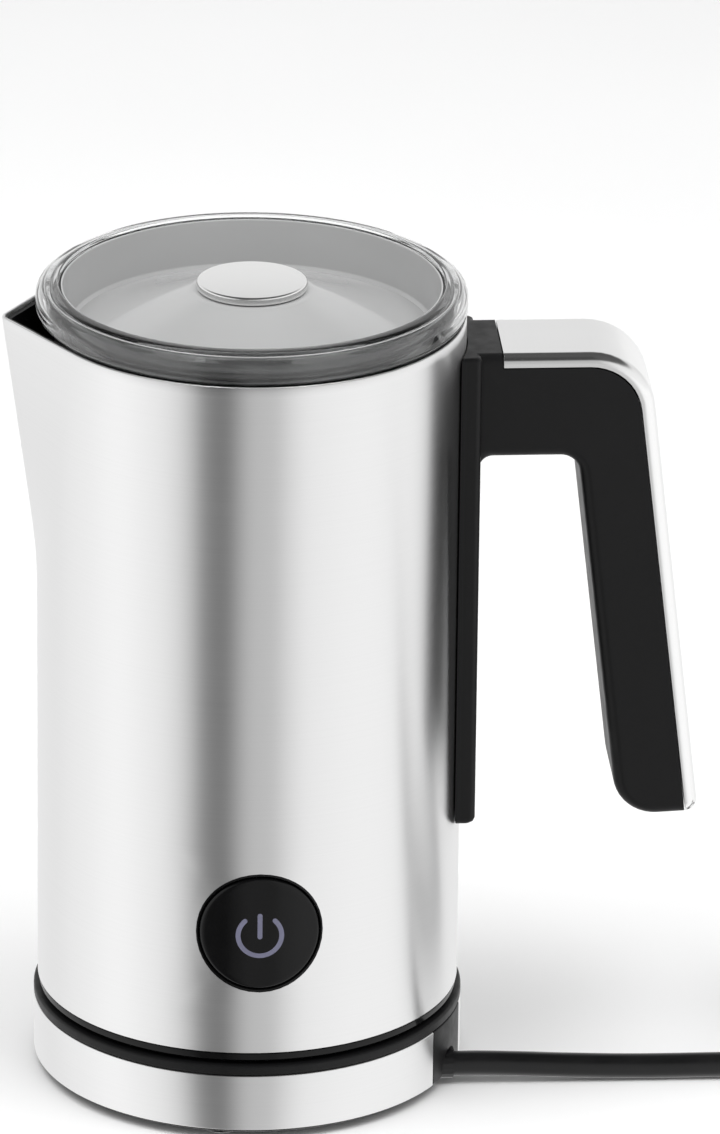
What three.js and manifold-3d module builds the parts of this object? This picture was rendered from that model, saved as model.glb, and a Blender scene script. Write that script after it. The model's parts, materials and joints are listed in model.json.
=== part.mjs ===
// Electric milk frother: a spouted steel jug with a clear lid and a handle, standing on a round
// corded base with a central connector tower. Millimetres, +Z up. The origin is on the surface that
// the base stands on, midway between the spout's tip and the handle's outer face.

import * as THREE from 'three';
import { mergeVertices } from 'three/addons/utils/BufferGeometryUtils.js';
import Module from 'manifold-3d';

const wasm = await Module();
wasm.setup();

// ---------------------------------------------------------------- driving dimensions

const GAP = 0.3; // clearance between separate pieces that touch
const BIG = 36; // facets round a large turned piece
const SMALL = 20; // facets round a small turned piece

const SHELL_R = 52.5; // steel jug
const SHELL_WALL = 0.8;
const SPOUT_REACH = 61.3; // from the jug's axis to the spout's tip, at the rim
const SPOUT_TIP_R = 3;
const SPOUT_HEIGHT = 64; // the spout fades into the cylinder this far below the rim
const RIM_Z = 177.5; // above the jug's bottom ring
const HANDLE_REACH = 111.2; // from the jug's axis to the handle's outermost point
const AXIS_X = (SPOUT_REACH - HANDLE_REACH) / 2;

const BASE_R = 53.5;
const BASE_H = 20; // from the surface to the top plate
const PLATE_RIM = 2.4; // height of the top plate's visible edge
const STEEL_RING_Z = [2.7, 17.3];
const FOOT_R = 5;
const FOOT_CIRCLE = 45.5;
const FEET = 6;
const FOOT_START = 19; // degrees, clear of the screws and of the cord
const TOWER_R = 14.75;
const TOWER_H = 18; // above the top plate
const JUG_Z = BASE_H + GAP; // the jug's bottom ring stands here

const POT_R = 47.4; // inside of the milk pot
const POT_WALL = 0.8;
const POT_FLOOR = 70.7; // above the jug's bottom ring
const BUTTON_Z = 35;
const BUTTON_R = 14.7;
const BUTTON_TRAVEL = 0.8;

const HANDLE_TOP = 170.4;
const HANDLE_FOOT = 48.6; // the grip's outer bottom corner
const HANDLE_WIDTH = 28;
const HANDLE_EDGE = 2.8;
const STRIP_FACE = 55.4; // from the jug's axis to the strip's flat face
const STRIP_HALF = 16;
const STRIP_BOTTOM = 47;
const SEAM_X = 60.8; // the trim starts here

const CORD_R = 3.1;
const CORD_ANGLE = -22.5; // degrees, where the outlet block sits in the base
const CORD_Y = -20.4; // the cord leaves along +X on this line
const OUTLET_X = 50.4; // outer end of the strain relief, from the jug's axis
const RELIEF_LENGTH = 20;
const COIL_X = 166; // coil centre, from the jug's axis
const COIL_R = 34; // middle of the coil's turns
const COIL_Y = CORD_Y + COIL_R + CORD_R;

// ---------------------------------------------------------------- solids and booleans

/** One closed mesh with shared vertices and its faces pointing out. */
function closed(geometry) {
  const bare = geometry.clone();
  bare.deleteAttribute('normal');
  bare.deleteAttribute('uv');
  const merged = mergeVertices(bare, 1e-4);
  const corners = merged.index.array;
  const kept = [];
  for (let i = 0; i < corners.length; i += 3) {
    const [a, b, c] = corners.slice(i, i + 3);
    if (a !== b && b !== c && c !== a) kept.push(a, b, c);
  }
  const points = merged.attributes.position;
  const at = (i) => new THREE.Vector3().fromBufferAttribute(points, i);
  let volume = 0;
  for (let i = 0; i < kept.length; i += 3) {
    volume += at(kept[i]).dot(at(kept[i + 1]).cross(at(kept[i + 2])));
  }
  merged.setIndex(volume < 0 ? kept.reverse() : kept);
  return merged;
}

function toSolid(geometry) {
  const mesh = closed(geometry);
  return new wasm.Manifold(new wasm.Mesh({
    numProp: 3,
    vertProperties: new Float32Array(mesh.attributes.position.array),
    triVerts: new Uint32Array(mesh.index.array),
  }));
}

function toGeometry(solid) {
  const mesh = solid.getMesh();
  const geometry = new THREE.BufferGeometry();
  geometry.setAttribute('position', new THREE.BufferAttribute(mesh.vertProperties, 3));
  geometry.setIndex(new THREE.BufferAttribute(mesh.triVerts, 1));
  return geometry;
}

function join(first, ...others) {
  return toGeometry(others.reduce((all, next) => all.add(toSolid(next)), toSolid(first)));
}

function cut(first, ...others) {
  return toGeometry(others.reduce((rest, next) => rest.subtract(toSolid(next)), toSolid(first)));
}

function common(first, second) {
  return toGeometry(toSolid(first).intersect(toSolid(second)));
}

// ---------------------------------------------------------------- shape helpers

/** A turned solid about Z, from [radius, z] points that start and end on the axis, or close. */
function turned(profile, facets = BIG) {
  const points = profile.map(([r, z]) => new THREE.Vector2(r, z));
  if (profile[0][0] > 0) points.push(points[0].clone());
  return closed(new THREE.LatheGeometry(points, facets).rotateX(Math.PI / 2));
}

/** A turned ring with a rectangular section. */
function ring(inner, outer, z0, z1, facets = BIG) {
  return turned([[inner, z0], [outer, z0], [outer, z1], [inner, z1]], facets);
}

/** A plain round bar along Z. */
function bar(radius, z0, z1, facets = SMALL) {
  return turned([[0, z0], [radius, z0], [radius, z1], [0, z1]], facets);
}

function block(x0, x1, y0, y1, z0, z1) {
  return new THREE.BoxGeometry(x1 - x0, y1 - y0, z1 - z0)
    .translate((x0 + x1) / 2, (y0 + y1) / 2, (z0 + z1) / 2);
}

/** Moves a piece made on the Z axis out to a radius at an angle in degrees. */
function around(geometry, radius, degrees) {
  const angle = THREE.MathUtils.degToRad(degrees);
  return geometry.clone().translate(radius * Math.cos(angle), radius * Math.sin(angle), 0);
}

/** An outline of [x, y, corner radius] points, with round corners as arcs. */
function roundedShape(corners) {
  const shape = new THREE.Shape();
  corners.forEach(([x, y, radius = 0], i) => {
    const here = new THREE.Vector2(x, y);
    const back = new THREE.Vector2(...corners.at(i - 1)).sub(here).normalize();
    const ahead = new THREE.Vector2(...corners[(i + 1) % corners.length]).sub(here).normalize();
    if (radius === 0) {
      if (i === 0) shape.moveTo(x, y);
      else shape.lineTo(x, y);
      return;
    }
    const half = Math.acos(THREE.MathUtils.clamp(back.dot(ahead), -1, 1)) / 2;
    const start = here.clone().addScaledVector(back, radius / Math.tan(half));
    const end = here.clone().addScaledVector(ahead, radius / Math.tan(half));
    const middle = back.clone().add(ahead).normalize();
    const centre = here.clone().addScaledVector(middle, radius / Math.sin(half));
    if (i === 0) shape.moveTo(start.x, start.y);
    else shape.lineTo(start.x, start.y);
    shape.absarc(centre.x, centre.y, radius, start.clone().sub(centre).angle(),
      end.clone().sub(centre).angle(), back.cross(ahead) > 0);
  });
  shape.closePath();
  return shape;
}

/** An XZ outline as thick as width along Y, centred on the XZ plane. */
function sidePlate(shape, width, edge = 0) {
  const geometry = new THREE.ExtrudeGeometry(shape, {
    depth: width - 2 * edge,
    curveSegments: 5,
    bevelEnabled: edge > 0,
    bevelThickness: edge,
    bevelSize: edge,
    bevelOffset: -edge,
    bevelSegments: 3,
  });
  return geometry.translate(0, 0, edge - width / 2).rotateX(Math.PI / 2);
}

/** A solid through closed loops of points: capped at both ends, or joined last to first. */
function loft(loops, capped) {
  const count = loops[0].length;
  const points = loops.flat();
  const faces = [];
  const bridges = capped ? loops.length - 1 : loops.length;
  for (let row = 0; row < bridges; row += 1) {
    const next = (row + 1) % loops.length;
    for (let i = 0; i < count; i += 1) {
      const j = (i + 1) % count;
      const [a, b] = [row * count + i, row * count + j];
      const [c, d] = [next * count + i, next * count + j];
      faces.push(a, b, d, a, d, c);
    }
  }
  if (capped) {
    for (let i = 1; i < count - 1; i += 1) {
      const top = (loops.length - 1) * count;
      faces.push(0, i + 1, i, top, top + i, top + i + 1);
    }
  }
  const geometry = new THREE.BufferGeometry();
  geometry.setAttribute('position', new THREE.Float32BufferAttribute(points.flat(), 3));
  geometry.setIndex(faces);
  return closed(geometry);
}

// ---------------------------------------------------------------- scene graph

const group = new THREE.Group();
const standing = new THREE.Group(); // everything, with the jug's axis on its Z axis
standing.position.x = AXIS_X;
const jug = new THREE.Group();
jug.position.z = JUG_Z;
group.add(standing);
standing.add(jug);

const MATERIALS = {
  brushed_steel: { color: 0xc9cacb, roughness: 0.35, metalness: 1 },
  satin_steel: { color: 0xdcdddd, roughness: 0.3, metalness: 1 },
  satin_black: { color: 0x1d1d1e, roughness: 0.5, metalness: 0 },
  gloss_black: { color: 0x0d0d0e, roughness: 0.12, metalness: 0 },
  clear_plastic: { color: 0xd6dadb, roughness: 0.05, metalness: 0, transparent: true, opacity: 0.5 },
  knob_satin: { color: 0xd9dad9, roughness: 0.4, metalness: 0.6 },
  pot_coating: { color: 0x242424, roughness: 0.4, metalness: 0 },
  rubber_black: { color: 0x18181a, roughness: 0.85, metalness: 0 },
  silicone_clear: { color: 0xb9bcbd, roughness: 0.6, metalness: 0 },
  aluminium: { color: 0xb5b7ba, roughness: 0.4, metalness: 1 },
  brass: { color: 0xc9a54b, roughness: 0.3, metalness: 1 },
  magnet: { color: 0x6f7276, roughness: 0.35, metalness: 1 },
  board_green: { color: 0x1f5a3a, roughness: 0.5, metalness: 0 },
};

function add(parent, name, geometry, material) {
  const mesh = new THREE.Mesh(geometry, new THREE.MeshStandardMaterial(MATERIALS[material]));
  mesh.name = name;
  parent.add(mesh);
  return mesh;
}

// ---------------------------------------------------------------- base

const SCREW_CIRCLE = 38;
const SCREW_ANGLES = [60, 180, 300];
const BOTTOM_PLATE = { z0: 1.2, z1: 2.7 };
const CUP_TOP = 4.4; // the screw cups in the bottom plate

const OUTLET_HALF_ANGLE = 10.4;
const NOTCH_HALF_ANGLE = 10.8;
const OUTLET_Z = 4.7; // the cord's centre where it leaves the block

/** The arched passage for the cord and its strain relief, open towards the surface. */
function outletArch() {
  const half = CORD_R + 1.3;
  return join(
    bar(half, 0, 40).rotateY(Math.PI / 2).translate(OUTLET_X - RELIEF_LENGTH - 1, CORD_Y, OUTLET_Z),
    block(OUTLET_X - RELIEF_LENGTH - 1, 70, CORD_Y - half, CORD_Y + half, 0, OUTLET_Z),
  );
}

function bottomPlate() {
  const { z0, z1 } = BOTTOM_PLATE;
  const plate = turned([[0, z0], [51, z0], [53, z1 - GAP], [50.2, z1 - GAP], [50.2, z1], [0, z1]]);
  const cups = SCREW_ANGLES.map((a) => around(bar(4.6, z0 + 0.2, CUP_TOP, 12), SCREW_CIRCLE, a));
  const holes = SCREW_ANGLES.flatMap((a) => [
    around(bar(3.2, 0, 3, 12), SCREW_CIRCLE, a),
    around(bar(1.7, 2, 6, 12), SCREW_CIRCLE, a),
  ]);
  return cut(join(plate, ...cups), ...holes, outletArch());
}

/** The upright wedge of the base that the cord's outlet block fills. */
function outletWedge(inner, outer, halfAngle, z0, z1) {
  const across = outer * Math.tan(THREE.MathUtils.degToRad(halfAngle));
  const wedge = new THREE.Shape([
    new THREE.Vector2(0, 0), new THREE.Vector2(outer, -across), new THREE.Vector2(outer, across),
  ]);
  const solid = new THREE.ExtrudeGeometry(wedge, { depth: z1 - z0, bevelEnabled: false })
    .translate(0, 0, z0)
    .rotateZ(THREE.MathUtils.degToRad(CORD_ANGLE));
  return inner > 0 ? cut(solid, bar(inner, z0 - 1, z1 + 1, BIG)) : solid;
}

function steelRing() {
  const [z0, z1] = STEEL_RING_Z;
  return cut(ring(BASE_R - 0.7, BASE_R, z0, z1), outletWedge(0, 80, NOTCH_HALF_ANGLE, z0 - 1, z1 + 1));
}

function topPlate() {
  const under = BASE_H - PLATE_RIM;
  const wall = BASE_R - 0.7 - GAP;
  const plate = turned([
    [BASE_R, under], [BASE_R, BASE_H - 0.6], [BASE_R - 0.5, BASE_H], [33, BASE_H],
    [29, BASE_H - 0.9], [16, BASE_H - 0.9], [16, under - 0.6], [wall - 1.8, under - 0.6],
    [wall - 1.8, 3], [wall, 3], [wall, under],
  ]);
  const posts = SCREW_ANGLES.map((a) => around(
    turned([[1.7, CUP_TOP + GAP], [3.4, CUP_TOP + GAP], [3.4, under], [1.7, under]], 12),
    SCREW_CIRCLE,
    a,
  ));
  return cut(join(plate, ...posts), outletWedge(0, 80, NOTCH_HALF_ANGLE, 0, under - GAP));
}

function outletBlock() {
  const [z0, z1] = STEEL_RING_Z;
  const outside = common(
    outletWedge(43, 70, OUTLET_HALF_ANGLE, z0 + GAP, z1),
    bar(BASE_R, z0, z1 + 1, BIG),
  );
  return cut(outside, outletArch());
}

const TOWER_TOP = BASE_H + TOWER_H;
const SLOT_FLOOR = 26;
const SLOT_WALL_TOP = TOWER_TOP - 1.5;

function connectorTower() {
  return turned([
    [0, 15], [19, 15], [19, 16.7], [15.6, 16.7], [15.4, BASE_H + 0.4], [TOWER_R, TOWER_TOP - 1],
    [TOWER_R - 0.6, TOWER_TOP], [13, TOWER_TOP], [12.4, TOWER_TOP - 0.6], [12.4, SLOT_FLOOR],
    [9.2, SLOT_FLOOR], [9.2, SLOT_WALL_TOP], [8, SLOT_WALL_TOP], [8, SLOT_FLOOR],
    [4.5, SLOT_FLOOR], [4.5, SLOT_WALL_TOP], [2.8, SLOT_WALL_TOP], [2.8, SLOT_FLOOR + 2],
    [0, SLOT_FLOOR + 2],
  ], 24);
}

/** A pan-head screw pointing up, its head's underside at z. */
function screw(headR, headH, shankR, z, length) {
  return turned([
    [0, z - headH], [headR * 0.8, z - headH], [headR, z - headH * 0.5], [headR, z],
    [shankR, z], [shankR, z + length], [0, z + length],
  ], 10);
}

add(standing, 'base_bottom_plate', bottomPlate(), 'satin_black');
add(standing, 'base_steel_ring', steelRing(), 'brushed_steel');
add(standing, 'base_top_plate', topPlate(), 'satin_black');
add(standing, 'cord_outlet_block', outletBlock(), 'satin_black');
add(standing, 'connector_tower', connectorTower(), 'satin_black');
add(standing, 'contact_ring_outer', ring(9.5, 10.3, SLOT_FLOOR + GAP, 33, 24), 'brass');
add(standing, 'contact_ring_inner', ring(7, 7.7, SLOT_FLOOR + GAP, 33, 24), 'brass');
add(standing, 'earth_pin', bar(1.2, SLOT_FLOOR + 2 + GAP, 35.5, 12), 'brass');
add(standing, 'terminal_block', block(8, 28, -27, -14, 4.8, 13), 'pot_coating');
SCREW_ANGLES.forEach((angle, i) => {
  const piece = around(screw(2.8, 1.4, 1.3, 3 - GAP, 9), SCREW_CIRCLE, angle);
  add(standing, `base_screw_${i + 1}`, piece, 'aluminium');
});
for (let i = 0; i < FEET; i += 1) {
  const foot = turned([[0, 0], [FOOT_R - 0.8, 0], [FOOT_R, 0.5], [FOOT_R, 0.9], [0, 0.9]], 14);
  const placed = around(foot, FOOT_CIRCLE, FOOT_START + (360 / FEET) * i);
  add(standing, `base_foot_${i + 1}`, placed, 'rubber_black');
}

// ---------------------------------------------------------------- cord and plug

const COIL_OUTER = COIL_R + 2 * CORD_R;
const COIL_TOP = CORD_R * (2 + Math.sqrt(3)); // two turns side by side and one in their groove
const LEAVE_ANGLE = THREE.MathUtils.degToRad(-98); // where the last turn leaves the coil
const TAIL = 36; // from there to the plug
const TAIL_SIDE = COIL_OUTER; // the tail passes this far from the coil's centre

function tube(points, sides = 10, step = 2.5) {
  const path = new THREE.CatmullRomCurve3(points, false, 'centripetal');
  const section = new THREE.Shape();
  section.absarc(0, 0, CORD_R, 0, 2 * Math.PI);
  const steps = Math.ceil(path.getLength() / (step * 2 * CORD_R));
  return closed(new THREE.ExtrudeGeometry(section, {
    steps, curveSegments: sides / 2, extrudePath: path, bevelEnabled: false,
  }));
}

/** The strain relief: a tapered sleeve round the cord inside the outlet, just showing outside. */
function strainRelief() {
  return turned([[0, 0], [4, 0], [3.6, RELIEF_LENGTH], [0, RELIEF_LENGTH]], 16)
    .rotateY(Math.PI / 2)
    .translate(OUTLET_X - RELIEF_LENGTH, CORD_Y, OUTLET_Z);
}

/** The cord from the outlet, down onto the surface and along it to the coil. */
const LEAD_POINTS = [
  [OUTLET_X + GAP, OUTLET_Z], [56, OUTLET_Z], [63, 4.3], [72, 3.5], [82, CORD_R], [95, CORD_R],
  [110, CORD_R], [125, CORD_R], [COIL_X - 23, CORD_R],
].map(([x, z]) => new THREE.Vector3(x, CORD_Y, z));

function coil() {
  const [inner, outer] = [COIL_R - 2 * CORD_R, COIL_R + 2 * CORD_R];
  return turned([
    [inner + 1, 0], [outer - 1, 0], [outer, CORD_R], [outer - 1.2, 2 * CORD_R],
    [COIL_R + CORD_R, COIL_TOP], [COIL_R - CORD_R, COIL_TOP], [inner + 1.2, 2 * CORD_R],
    [inner, CORD_R],
  ]).translate(COIL_X, COIL_Y, 0);
}

/** Group in which +X is the cord's direction as it leaves the coil, from the coil's centre. */
const tail = new THREE.Group();
tail.position.set(COIL_X, COIL_Y, 0);
tail.rotation.z = LEAVE_ANGLE + Math.PI / 2;

const TAIL_Z = 9.2; // the tail leaves over the outer turn
const PLUG = { length: 37, width: 35, height: 14, relief: 24, z: 7.4 };
const PIN = { radius: 2, length: 19, spacing: 18.6 };

function plugBody() {
  const [half, side] = [PLUG.width / 2, 6.2];
  const outline = roundedShape([
    [0, -side, 2.5], [PLUG.length * 0.45, -half, 8], [PLUG.length, -half, 2.5],
    [PLUG.length, half, 2.5], [PLUG.length * 0.45, half, 8], [0, side, 2.5],
  ]);
  const body = new THREE.ExtrudeGeometry(outline, {
    depth: PLUG.height - 4, curveSegments: 3, bevelThickness: 2, bevelSize: 2, bevelOffset: -2,
    bevelSegments: 2,
  }).translate(0, 0, 2 - PLUG.height / 2);
  const relief = turned([[0, -PLUG.relief], [3.7, -PLUG.relief], [5, 3], [0, 3]], 12)
    .rotateY(Math.PI / 2);
  const sockets = [-1, 1].map((sign) => bar(PIN.radius + GAP, 0, 20, 12)
    .rotateY(Math.PI / 2)
    .translate(PLUG.length - 4, sign * PIN.spacing / 2, 0));
  return cut(join(body, relief), ...sockets);
}

add(standing, 'strain_relief', strainRelief(), 'rubber_black');
add(standing, 'cord', tube(LEAD_POINTS), 'rubber_black');
add(standing, 'cord_coil', coil(), 'rubber_black');
standing.add(tail);
const tailPoints = [[23, TAIL_Z], [TAIL - PLUG.relief / 3, 8.2], [TAIL + 2, PLUG.z]]
  .map(([x, z]) => new THREE.Vector3(x, -TAIL_SIDE, z));
add(tail, 'cord_tail', tube(tailPoints), 'rubber_black');
const plug = new THREE.Group();
plug.position.set(TAIL + 2 + GAP + PLUG.relief, -TAIL_SIDE, PLUG.z);
tail.add(plug);
add(plug, 'plug_body', plugBody(), 'satin_black');
[-1, 1].forEach((side, i) => {
  const pin = turned([
    [0, 0], [PIN.radius, 0], [PIN.radius, PIN.length + 2], [PIN.radius - 1, PIN.length + 3],
    [0, PIN.length + 3],
  ], 12).rotateY(Math.PI / 2).translate(PLUG.length - 3.5, side * PIN.spacing / 2, 0);
  add(plug, `plug_pin_${i + 1}`, pin, 'brass');
});

// ---------------------------------------------------------------- jug shell and spout

/** Distance from the jug's axis to the spout's tip at a height. */
function spoutReach(z) {
  const rise = THREE.MathUtils.clamp((z - (RIM_Z - SPOUT_HEIGHT)) / SPOUT_HEIGHT, 0, 1);
  return SHELL_R + (SPOUT_REACH - SHELL_R) * rise;
}

/** The jug's outline at a height, moved in by offset: a circle joined to a small tip circle. */
function jugSection(z, offset) {
  const tip = spoutReach(z) - SPOUT_TIP_R;
  const slope = Math.acos((SHELL_R - SPOUT_TIP_R) / tip);
  const front = Math.max(slope, THREE.MathUtils.degToRad(15));
  const bodyPoints = 30;
  const angles = [-0.96, -0.48, 0, 0.48, 0.96].map((share) => share * front);
  for (let i = 0; i <= bodyPoints; i += 1) {
    angles.push(front + (2 * (Math.PI - front) * i) / bodyPoints);
  }
  return angles.map((angle) => {
    const onTip = Math.abs(angle) < slope;
    const radius = (onTip ? SPOUT_TIP_R : SHELL_R) - offset;
    const centre = onTip ? tip : 0;
    return [-(centre + radius * Math.cos(angle)), -radius * Math.sin(angle), z];
  });
}

const SPOUT_ROWS = [0, 0.12, 0.3, 0.5, 0.75, 1].map((s) => RIM_Z - SPOUT_HEIGHT * (1 - s));

const SHELL_Z0 = 2.9;

function outerShell() {
  const outside = loft([SHELL_Z0, ...SPOUT_ROWS].map((z) => jugSection(z, 0)), true);
  const inside = loft([SHELL_Z0 - 1, ...SPOUT_ROWS, RIM_Z + 1]
    .map((z) => jugSection(z, SHELL_WALL)), true);
  const buttonHole = bar(BUTTON_R + 1.4, 40, 60, 28).rotateX(Math.PI / 2).translate(0, 0, BUTTON_Z);
  const screwHoles = HANDLE_SCREWS.map((z) => bar(2.1, 40, 60, 10)
    .rotateY(Math.PI / 2).translate(0, 0, z));
  return cut(outside, inside, buttonHole, ...screwHoles);
}

const CHANNEL_WALL = 1.4;
const COLLAR_TOP = RIM_Z - 0.9;

const CHANNEL_FLOOR = { potX: -46, potZ: 161.4, tipX: -58.4, tipZ: 175.4 };

/** The space above the slanting floor of the spout, less a wall along the shell. */
function spoutChannel() {
  const { potX, potZ, tipX, tipZ } = CHANNEL_FLOOR;
  const [far, high] = [-80, 205];
  const farZ = tipZ + ((tipZ - potZ) * (far - tipX)) / (tipX - potX);
  const heights = [...SPOUT_ROWS.slice(-3), RIM_Z + 5];
  const space = loft(heights.map((z) => jugSection(z, SHELL_WALL + GAP + CHANNEL_WALL)), true);
  const side = new THREE.Shape([[potX, potZ], [potX, high], [far, high], [far, farZ], [tipX, tipZ]]
    .map(([x, z]) => new THREE.Vector2(x, z)));
  return common(space, sidePlate(side, 80));
}

function rimCollar() {
  const filler = loft(SPOUT_ROWS.slice(-2).map((z) => jugSection(z, SHELL_WALL + GAP)), true);
  const above = block(-80, 80, -80, 80, COLLAR_TOP, RIM_Z + 10);
  return cut(filler, bar(POT_R + POT_WALL + GAP, 100, 200, BIG), spoutChannel(), above);
}

function innerPot() {
  const outer = POT_R + POT_WALL;
  const pot = turned([
    [0, POT_FLOOR - 1.2], [42, POT_FLOOR - 1.2], [47, 72], [outer, 76], [outer, COLLAR_TOP],
    [POT_R, COLLAR_TOP], [POT_R, 76.4], [46.4, 73], [41.5, POT_FLOOR], [0, POT_FLOOR],
  ]);
  return cut(pot, spoutChannel());
}

const HANDLE_SCREWS = [148.5, 157.5];

add(jug, 'outer_shell', outerShell(), 'brushed_steel');
add(jug, 'rim_collar', rimCollar(), 'satin_black');
add(jug, 'inner_pot', innerPot(), 'pot_coating');
add(jug, 'bottom_ring', turned([
  [46.5, 0], [51.3, 0], [52.3, 0.9], [52.3, 2.6], [51.3, 2.6], [51.3, 6.6], [50, 6.6], [50, 2.6],
  [46.5, 2.6],
]), 'gloss_black');

// ---------------------------------------------------------------- inside the jug's foot

const COVER_Z = [1.4, 3];

function bottomCover() {
  const cover = ring(18.8, 46.2, COVER_Z[0], COVER_Z[1]);
  return cut(cover, ...SCREW_ANGLES.map((a) => around(bar(1.7, 0, 5, 10), SCREW_CIRCLE, a)));
}

function jugSocket() {
  const roof = 18.4;
  return turned([
    [0, 20.6], [18.4, 20.6], [18.4, 0.6], [16.1, 0.6], [16.1, roof], [12, roof], [12, 7.5],
    [10.8, 7.5], [10.8, roof], [6.6, roof], [6.6, 7.5], [5.2, 7.5], [5.2, roof], [2.4, roof],
    [2.4, 9.5], [1.6, 9.5], [1.6, roof], [0, roof],
  ], 24);
}

const BRACKET_Z = 54.4;

/** The chassis: a tray under the pot that carries the motor, with three posts for the cover. */
function motorBracket() {
  const tray = turned([
    [5.6, BRACKET_Z], [50.9, BRACKET_Z], [50.9, 60], [49.4, 60], [49.4, BRACKET_Z + 1.5],
    [5.6, BRACKET_Z + 1.5],
  ]);
  const posts = SCREW_ANGLES.map((a) => around(
    turned([[1.7, 3.3], [3.4, 3.3], [3.4, BRACKET_Z + 0.7], [1.7, BRACKET_Z + 0.7]], 10),
    SCREW_CIRCLE,
    a,
  ));
  return join(tray, ...posts);
}

function motorBody() {
  return turned([
    [0, 26], [12, 26], [14.5, 28], [14.5, 50], [12, 52], [5, 52], [5, 55], [1.9, 55], [1.9, 44],
    [0, 44],
  ], SMALL);
}

const BOARD_Y = -40.5;

function controlBoard() {
  const board = block(-18, 18, BOARD_Y - 0.8, BOARD_Y + 0.8, 18, 53);
  const relay = block(-15, 1, BOARD_Y, BOARD_Y + 11, 26, 38);
  const capacitor = bar(5, 0, 12, 14).rotateX(-Math.PI / 2).translate(9, BOARD_Y, 44);
  return join(board, relay, capacitor);
}

add(jug, 'bottom_cover', bottomCover(), 'satin_black');
SCREW_ANGLES.forEach((angle, i) => {
  const piece = around(screw(2.8, 1, 1.3, COVER_Z[0] - 0.2, 8), SCREW_CIRCLE, angle);
  add(jug, `cover_screw_${i + 1}`, piece, 'aluminium');
});
add(jug, 'jug_socket', jugSocket(), 'satin_black');
add(jug, 'motor_bracket', motorBracket(), 'satin_black');
add(jug, 'motor_body', motorBody(), 'aluminium');
add(jug, 'motor_shaft', bar(1.5, 44.3, 62, 12), 'satin_steel');
add(jug, 'magnet_carrier', ring(1.8, 16, 58, 63, SMALL), 'satin_black');
add(jug, 'drive_magnet', ring(6, 14, 63.3, 66.5, SMALL), 'magnet');
add(jug, 'heater_ring', ring(26, 40, 66, POT_FLOOR - 1.2 - GAP), 'aluminium');
add(jug, 'temperature_sensor', around(bar(3.4, 64, POT_FLOOR - 1.2 - GAP, 12), 21, 45), 'brass');
add(jug, 'control_board', controlBoard(), 'board_green');

// ---------------------------------------------------------------- power button

/** A round pad on the jug's front whose faces follow the cylinder, between two depths. */
function frontPad(inner, outer, depthIn, depthOut, facets = 28) {
  const facing = (geometry) => geometry.rotateX(Math.PI / 2).translate(0, 0, BUTTON_Z);
  const stock = facing(inner > 0 ? ring(inner, outer, 30, 60, facets) : bar(outer, 30, 60, facets));
  const band = ring(depthIn, depthOut, BUTTON_Z - 25, BUTTON_Z + 25, 72);
  return common(stock, band);
}

const PAD_BACK = 50.2; // the button's inner face, from the jug's axis
const SWITCH_FRONT = 4.3 - BOARD_Y; // the switch's face, from the jug's axis

/** The button's plate with the stem that reaches the switch at the end of its travel. */
function buttonCap() {
  const stem = bar(3, SWITCH_FRONT + BUTTON_TRAVEL + GAP, SHELL_R - 1.5, 12)
    .rotateX(Math.PI / 2).translate(0, 0, BUTTON_Z);
  return join(frontPad(0, BUTTON_R, PAD_BACK, SHELL_R + 0.3), stem);
}

function buttonSwitch() {
  return block(-3, 3, -SWITCH_FRONT, BOARD_Y - 0.8 - GAP, BUTTON_Z - 3, BUTTON_Z + 3);
}

function buttonHousing() {
  const wall = ring(17, 18.6, -BOARD_Y + 1.2, 60, 24).rotateX(Math.PI / 2).translate(0, 0, BUTTON_Z);
  return common(wall, bar(SHELL_R - SHELL_WALL - GAP, 0, 80, 72));
}

const bezel = frontPad(BUTTON_R + 0.25, BUTTON_R + 1.1, PAD_BACK, SHELL_R + 0.4);
add(jug, 'button_bezel', bezel, 'gloss_black');
add(jug, 'button_cap', buttonCap(), 'gloss_black');
add(jug, 'button_housing', buttonHousing(), 'satin_black');
add(jug, 'button_switch', buttonSwitch(), 'satin_black');

// ---------------------------------------------------------------- whisk

add(jug, 'spindle_pin', bar(1.6, POT_FLOOR + GAP, 84, 12), 'satin_steel');
add(jug, 'whisk_bush', turned([
  [0, 84.4], [2, 84.4], [2, 71.3], [3.4, 71.3], [3.4, 85.6], [2.6, 86.5], [0, 86.5],
], 16), 'satin_black');
add(jug, 'whisk_hub', turned([
  [3.8, 74.6], [11, 74.6], [11, 79], [7, 83], [3.8, 83],
], SMALL), 'satin_black');
add(jug, 'whisk_magnet', ring(4.2, 10.4, 71.6, 74.3, SMALL), 'magnet');

const WHISK_RING_R = 14.2;
const WHISK_COIL_R = 2.6;
add(jug, 'whisk_spring', closed(new THREE.TorusGeometry(WHISK_RING_R, WHISK_COIL_R, 8, SMALL))
  .translate(0, 0, 76), 'satin_steel');

// ---------------------------------------------------------------- handle

/** Distance from the jug's axis to the grip's outer face, which leans out towards the bottom. */
const gripOuter = (z) => HANDLE_REACH - 0.12 * (z - HANDLE_FOOT);
/** The same for the grip's inner face. */
const gripInner = (z) => 90.8 - 0.12 * (z - 50);

const ARM_UNDER = 143.7;
const TRIM_DEPTH = 3.1;

function handleOutline() {
  return roundedShape([
    [45, ARM_UNDER], [45, HANDLE_TOP], [gripOuter(HANDLE_TOP), HANDLE_TOP, 16],
    [gripOuter(HANDLE_FOOT), HANDLE_FOOT, 3.2], [gripInner(HANDLE_FOOT) + 0.1, HANDLE_FOOT - 1, 10.5],
    [gripInner(ARM_UNDER), ARM_UNDER, 5],
  ]);
}

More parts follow.
